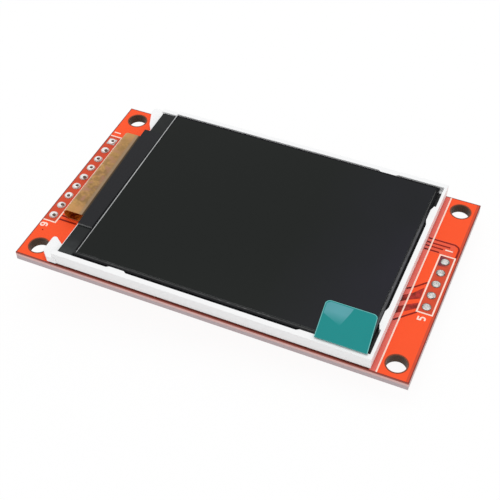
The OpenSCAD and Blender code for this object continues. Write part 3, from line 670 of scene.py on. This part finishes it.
class BuildTailFinish(bpy.types.Operator):
    """Give the flexible tail its amber film over fine copper lines"""
    bl_idname = "display_module.tail_finish"
    bl_label = "Tail finish"

    def execute(self, context):
        s = context.scene.panel_settings
        f = Finish("amber_film_over_copper", rough=0.34, specular=0.2)
        gold = tuple(s.copper_film)
        # fine lines that run out from the glass and bend a little, under an uneven film
        wander = f.math("MULTIPLY", f.noise(2.6 * MM, 3.0), 2.6 * MM)
        across = f.math("ADD", f.math("ADD", f.axis("Y"), wander),
                        f.math("MULTIPLY", f.axis("X"), 0.55))
        lines = f.math("SINE", f.math("MULTIPLY", across, 2 * math.pi / (0.62 * MM)))
        lines = f.math("ADD", f.math("MULTIPLY", lines, 0.5), 0.5)
        copper = f.blend(lines, tuple(c * 1.0 for c in gold), tuple(c * 1.16 for c in gold))
        drift = f.blend(f.ramp(f.noise(1.2 * MM, 4.0), 0.42, 0.56), copper,
                        tuple(c * 0.68 for c in gold))
        rosy = (gold[0] * 0.92, gold[1] * 0.82, gold[2] * 1.55)
        drift = f.blend(f.ramp(f.noise(1.7 * MM, 3.0), 0.50, 0.62), drift, rosy)
        drift = f.blend(f.math("MULTIPLY", f.ramp(f.axis("Y"), 1.0 * MM, 6.0 * MM), 0.35), drift,
                        tuple(c * 1.12 for c in gold))
        # the ends are brighter, and the side toward the cover falls into its shadow
        (x0, y0, _), (_, y1, _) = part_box("ledge_cover")
        lean = 0.8 * MM / (y1 - y0)
        beside = f.math("ADD", f.axis("X"), f.math("MULTIPLY", f.axis("Y"), lean))
        edge = x0 + lean * y1
        drift = f.blend(f.math("MULTIPLY", f.ramp(beside, edge - 3.2 * MM, edge - 1.0 * MM), 0.40),
                        drift, (0.15, 0.095, 0.045))
        tail_low, tail_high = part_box("display_flex")
        for start, end in ((tail_low[1] + 2.6 * MM, tail_low[1] + 1.2 * MM),
                           (tail_high[1] - 2.4 * MM, tail_high[1] - 0.6 * MM)):
            drift = f.blend(f.math("MULTIPLY", f.ramp(f.axis("Y"), start, end), 0.75), drift,
                            (0.55, 0.28, 0.092))
        drift = f.blend(f.math("MULTIPLY", f.ramp(beside, edge - 1.15 * MM, edge - 0.8 * MM), 0.8),
                        drift, (0.31, 0.21, 0.125))
        drift = f.blend(f.ramp(beside, edge - 0.52 * MM, edge - 0.38 * MM), drift,
                        (0.050, 0.026, 0.006))
        # the inside of the fold is bare amber film, darker toward the middle of the fold with
        # painted shade
        low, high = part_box("display_flex")
        fold_x, fold_z = low[0] + (high[2] - low[2]) / 2, (high[2] + low[2]) / 2
        off_x = f.math("SUBTRACT", f.axis("X"), fold_x)
        off_z = f.math("SUBTRACT", f.axis("Z"), fold_z)
        outward = f.math("ADD", f.math("MULTIPLY", f.math("MINIMUM", off_x, 0.0), f.facing("X")),
                         f.math("MULTIPLY", off_z, f.facing("Z")))
        inner = f.math("LESS_THAN", outward, 0.0)
        middle = f.ramp(f.math("ABSOLUTE", f.math("SUBTRACT", f.axis("X"), -28.8 * MM)),
                        1.5 * MM, 0.5 * MM)
        middle = f.math("MULTIPLY", middle, f.ramp(f.noise(0.9 * MM, 3.0), 0.30, 0.50))
        patchy_tone = f.blend(middle, (0.85, 0.24, 0.020), (0.20, 0.018, 0.0))
        f.colour(f.blend(inner, drift, patchy_tone))
        f.grain(0.5 * MM, 0.01 * MM)
        dress("display_flex", f)
        joints = Finish("tail_solder", (0.8, 0.8, 0.78), 0.3, 1.0)
        joints.mottled((0.82, 0.82, 0.80), (0.62, 0.62, 0.61), 0.3 * MM)
        dress("flex_solder", joints)
        return {"FINISHED"}


class BuildTab(bpy.types.Operator):
    """Give the pull tab its teal film, its paler upper corner and its painted edge highlights"""
    bl_idname = "display_module.tab"
    bl_label = "Pull tab"

    def execute(self, context):
        s = context.scene.panel_settings
        low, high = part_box("pull_tab")
        teal = Finish("teal_film", rough=0.35, specular=0.12)
        # the side faces of the film are lighter as a painted highlight
        side = teal.math("LESS_THAN", teal.math("ABSOLUTE", teal.facing("Z")), 0.5)
        body = teal.blend(teal.noise(4 * MM), tuple(s.tab), tuple(c * 0.93 for c in s.tab))
        teal.colour(teal.blend(side, body, (0.12, 0.42, 0.40)))
        dress("pull_tab", teal)
        # a paler patch on the upper corner of the tab, fading toward its lower tip
        bm = bmesh.new()
        x, y = low[0], high[1]
        corners = [(x + 0.25 * MM, y - 0.75 * MM), (x + 0.75 * MM, y - 0.25 * MM),
                   (x + 4.45 * MM, y - 0.30 * MM), (x + 4.3 * MM, y - 1.3 * MM),
                   (x + 3.55 * MM, y - 4.25 * MM), (x + 3.0 * MM, y - 3.95 * MM),
                   (x + 0.45 * MM, y - 2.75 * MM)]
        slab(bm, corners, high[2] - 0.01 * MM, high[2] + 0.003 * MM)
        pale = Finish("pale_teal_film", rough=0.38, specular=0.12)
        pale_patch = pale.blend(pale.noise(2.5 * MM), tuple(s.tab_pale),
                          tuple(c * 0.88 for c in s.tab_pale))
        fade = pale.ramp(pale.axis("Y"), y - 4.2 * MM, y - 2.0 * MM)
        pale.colour(pale.blend(fade, tuple(s.tab), pale_patch))
        piece("tab_pale_patch", bm, pale)
        # the cut edges of the film carry a painted highlight, lighter than its face
        lean, r, off = 0.75 * MM, 0.8 * MM, 0.06 * MM
        wide = high[0] - low[0] - lean
        left, right, top = low[0] + off, low[0] + wide - off, high[1] - off
        path = [(left + lean, low[1] + 0.02 * MM)]
        path += [(left + r + u, top - r + v) for u, v in arc(0, 0, r, 180, 90, 5)]
        path += [(right - r + u, top - r + v) for u, v in arc(0, 0, r, 90, 0, 5)]
        path += [(right + lean, low[1] + 0.02 * MM)]
        bm = bmesh.new()
        ribbon(bm, path, 0.10 * MM, high[2] - 0.01 * MM, high[2] + 0.004 * MM)
        edge = Finish("tab_edge_painted_highlight", rough=0.4, specular=0.12)
        edge.mottled((0.12, 0.44, 0.42), (0.22, 0.56, 0.54), 1.5 * MM)
        piece("tab_rim", bm, edge)
        return {"FINISHED"}


class BuildInnerFinish(bpy.types.Operator):
    """Give the hidden sheets, lamps and back-side parts their finishes"""
    bl_idname = "display_module.inner_finish"
    bl_label = "Inner and back parts"

    def execute(self, context):
        sheet = Finish("milky_sheet", rough=0.6)
        sheet.mottled((0.82, 0.82, 0.81), (0.76, 0.76, 0.76), 4 * MM)
        sheet.grain(0.2 * MM, 0.005 * MM)
        for name in ("diffuser_film", "prism_film_lower", "prism_film_upper", "led_flex"):
            dress(name, sheet)
        mirror = Finish("silver_sheet", (0.85, 0.86, 0.87), 0.2, 0.9)
        mirror.mottled((0.86, 0.87, 0.88), (0.76, 0.77, 0.78), 6 * MM)
        dress("reflector_film", mirror)
        guide = Finish("clear_plate", (0.9, 0.95, 0.97), 0.1)
        guide.bsdf.inputs["Transmission Weight"].default_value = 0.7
        guide.grain(0.5 * MM, 0.004 * MM)
        dress("light_guide", guide)
        lamp = Finish("lamp_lens", rough=0.35)
        lamp.mottled((0.92, 0.84, 0.42), (0.88, 0.86, 0.70), 0.8 * MM)
        dress("backlight_leds", lamp)
        black = Finish("black_tape", rough=0.5, specular=0.3)
        black.mottled((0.010, 0.010, 0.011), (0.016, 0.016, 0.017), 2 * MM)
        dress("rim_tape", black)
        steel = Finish("stamped_steel", (0.62, 0.63, 0.64), 0.32, 1.0)
        steel.mottled((0.66, 0.67, 0.68), (0.54, 0.55, 0.56), 5 * MM)
        steel.grain(0.6 * MM, 0.004 * MM, stretch=(0.08, 1.0, 1.0))
        dress("card_socket_shell", steel)
        socket = Finish("socket_plastic", rough=0.5, specular=0.4)
        socket.mottled((0.017, 0.017, 0.018), (0.024, 0.024, 0.025), 2 * MM)
        socket.grain(0.1 * MM, 0.006 * MM)
        dress("card_socket_body", socket)
        gilt = Finish("gilded_spring", (0.85, 0.62, 0.27), 0.25, 1.0)
        gilt.mottled((0.88, 0.66, 0.30), (0.72, 0.52, 0.22), 1.0 * MM)
        for name in ("card_contacts", "card_switch_contacts"):
            dress(name, gilt)
        case = Finish("moulded_package", rough=0.55, specular=0.35)
        case.mottled((0.020, 0.020, 0.021), (0.028, 0.028, 0.029), 0.5 * MM)
        case.grain(0.06 * MM, 0.008 * MM)
        for name in ("voltage_regulator", "backlight_transistor", "chip_resistors"):
            dress(name, case)
        tan = Finish("tan_ceramic", rough=0.5)
        tan.mottled((0.38, 0.25, 0.13), (0.30, 0.20, 0.11), 0.4 * MM)
        dress("chip_capacitors", tan)
        tin = Finish("tinned_lead", (0.78, 0.78, 0.77), 0.3, 1.0)
        tin.mottled((0.82, 0.82, 0.81), (0.64, 0.64, 0.63), 0.3 * MM)
        for name in ("regulator_leads", "transistor_leads", "resistor_ends", "capacitor_ends"):
            dress(name, tin)
        return {"FINISHED"}


class BuildStage(bpy.types.Operator):
    """Set the pale floor, the soft light and the camera"""
    bl_idname = "display_module.stage"
    bl_label = "Stage"

    def execute(self, context):
        s = context.scene.stage_settings
        scene = context.scene
        # the module stands on its pins and the edge of the card socket
        pins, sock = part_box("header_pins"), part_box("card_socket_shell")
        a = Vector((pins[0][0], 0, pins[0][2]))
        b = Vector((sock[1][0], 0, sock[0][2]))
        along = (b - a).normalized()
        across = Vector((0, 1, 0))
        mid = (a + b) / 2
        bm = bmesh.new()
        reach = 3.0
        for u, v in ((-1, -1), (1, -1), (1, 1), (-1, 1)):
            bm.verts.new(mid + along * u * reach + across * v * reach - Vector((0, 0, 0.02 * MM)))
        bm.verts.ensure_lookup_table()
        bm.faces.new(bm.verts[:])
        mesh = bpy.data.meshes.new("floor")
        bm.to_mesh(mesh)
        bm.free()
        floor = bpy.data.objects.new("floor", mesh)
        scene.collection.objects.link(floor)
        f = Finish("white_floor", tuple(s.floor), 0.9, specular=0.0)
        f.mottled(tuple(s.floor), tuple(c * 0.99 for c in s.floor), 0.3)
        glow = f.node("ShaderNodeEmission")
        glow.inputs["Color"].default_value = (1, 1, 1, 1)
        glow.inputs["Strength"].default_value = 1.0
        path = f.node("ShaderNodeLightPath")
        seen = f.math("MAXIMUM", path.outputs["Is Camera Ray"],
                      f.math("MAXIMUM", path.outputs["Is Glossy Ray"],
                             path.outputs["Is Transmission Ray"]))
        mix = f.node("ShaderNodeMixShader")
        f.links.new(f.math("MULTIPLY", seen, 0.94), mix.inputs[0])
        f.links.new(f.bsdf.outputs[0], mix.inputs[1])
        f.links.new(glow.outputs[0], mix.inputs[2])
        f.links.new(mix.outputs[0], f.nodes["Material Output"].inputs["Surface"])
        mesh.materials.append(f.mat)
        world = bpy.data.worlds.new("even_light")
        scene.world = world
        world.use_nodes = True
        nodes, links = world.node_tree.nodes, world.node_tree.links
        back = nodes["Background"]
        back.inputs["Color"].default_value = (1, 1, 1, 1)
        path = nodes.new("ShaderNodeLightPath")
        level = nodes.new("ShaderNodeMapRange")
        level.inputs["To Min"].default_value = s.world_light
        level.inputs["To Max"].default_value = 1.0
        seen = nodes.new("ShaderNodeMath")
        seen.operation = "MAXIMUM"
        mirrored = nodes.new("ShaderNodeMath")
        mirrored.operation = "MAXIMUM"
        links.new(path.outputs["Is Glossy Ray"], mirrored.inputs[0])
        links.new(path.outputs["Is Transmission Ray"], mirrored.inputs[1])
        links.new(path.outputs["Is Camera Ray"], seen.inputs[0])
        links.new(mirrored.outputs[0], seen.inputs[1])
        links.new(seen.outputs[0], level.inputs["Value"])
        links.new(level.outputs[0], back.inputs["Strength"])
        lamp = bpy.data.lights.new("overhead_lamp", "AREA")
        lamp.shape = "RECTANGLE"
        lamp.size, lamp.size_y = 0.30, 0.30
        lamp.energy = s.key_light
        holder = bpy.data.objects.new("overhead_lamp", lamp)
        holder.location = (-0.06, 0.12, 0.42)
        aim = Vector((0, 0, 0)) - Vector(holder.location)
        holder.rotation_euler = aim.to_track_quat("-Z", "Y").to_euler()
        scene.collection.objects.link(holder)
        camera = bpy.data.cameras.new("camera")
        camera.lens = 73.33
        camera.sensor_width = 36.0
        camera.clip_start = 0.005
        eye = bpy.data.objects.new("camera", camera)
        eye.matrix_world = camera_stand()
        scene.collection.objects.link(eye)
        scene.camera = eye
        scene.view_settings.view_transform = "Standard"
        return {"FINISHED"}


def camera_stand():
    """Where the camera stands and how it is turned, in metres."""
    right = Vector(CAMERA_RIGHT)
    up = Vector(CAMERA_UP)
    back = right.cross(up)
    spot = Matrix((right, up, back)).transposed().to_4x4()
    spot.translation = Vector(CAMERA_SPOT)
    return spot


CAMERA_SPOT = (0.04859, -0.10800, 0.12291)
CAMERA_RIGHT = (0.915844, 0.401333, -0.012712)
CAMERA_UP = (-0.285154, 0.672358, 0.683097)


class DisplayModulePanel(bpy.types.Panel):
    """Settings and build steps of the display module"""
    bl_label = "Display Module"
    bl_idname = "VIEW3D_PT_display_module"
    bl_space_type = "VIEW_3D"
    bl_region_type = "UI"
    bl_category = "Display Module"

    def draw(self, context):
        for group in (context.scene.board_settings, context.scene.panel_settings,
                      context.scene.stage_settings):
            box = self.layout.box()
            for key in group.bl_rna.properties.keys():
                if key not in ("rna_type", "name"):
                    box.prop(group, key)
        for operator in STEPS:
            self.layout.operator(operator.bl_idname)


STEPS = (BuildBoardFinish, BuildTraces, BuildMarkings, BuildSolder, BuildFrameFinish,
         BuildGlassFinish, BuildTailFinish, BuildTab, BuildInnerFinish, BuildStage)
CLASSES = (BoardSettings, PanelSettings, StageSettings) + STEPS + (DisplayModulePanel,)


def register():
    for cls in CLASSES:
        bpy.utils.register_class(cls)
    bpy.types.Scene.board_settings = bpy.props.PointerProperty(type=BoardSettings)
    bpy.types.Scene.panel_settings = bpy.props.PointerProperty(type=PanelSettings)
    bpy.types.Scene.stage_settings = bpy.props.PointerProperty(type=StageSettings)


def unregister():
    del bpy.types.Scene.stage_settings
    del bpy.types.Scene.panel_settings
    del bpy.types.Scene.board_settings
    for cls in reversed(CLASSES):
        bpy.utils.unregister_class(cls)


def main():
    register()
    bpy.ops.display_module.board_finish()
    bpy.ops.display_module.traces()
    bpy.ops.display_module.markings()
    bpy.ops.display_module.solder()
    bpy.ops.display_module.frame_finish()
    bpy.ops.display_module.glass_finish()
    bpy.ops.display_module.tail_finish()
    bpy.ops.display_module.tab()
    bpy.ops.display_module.inner_finish()
    bpy.ops.display_module.stage()


if __name__ == "__main__":
    main()
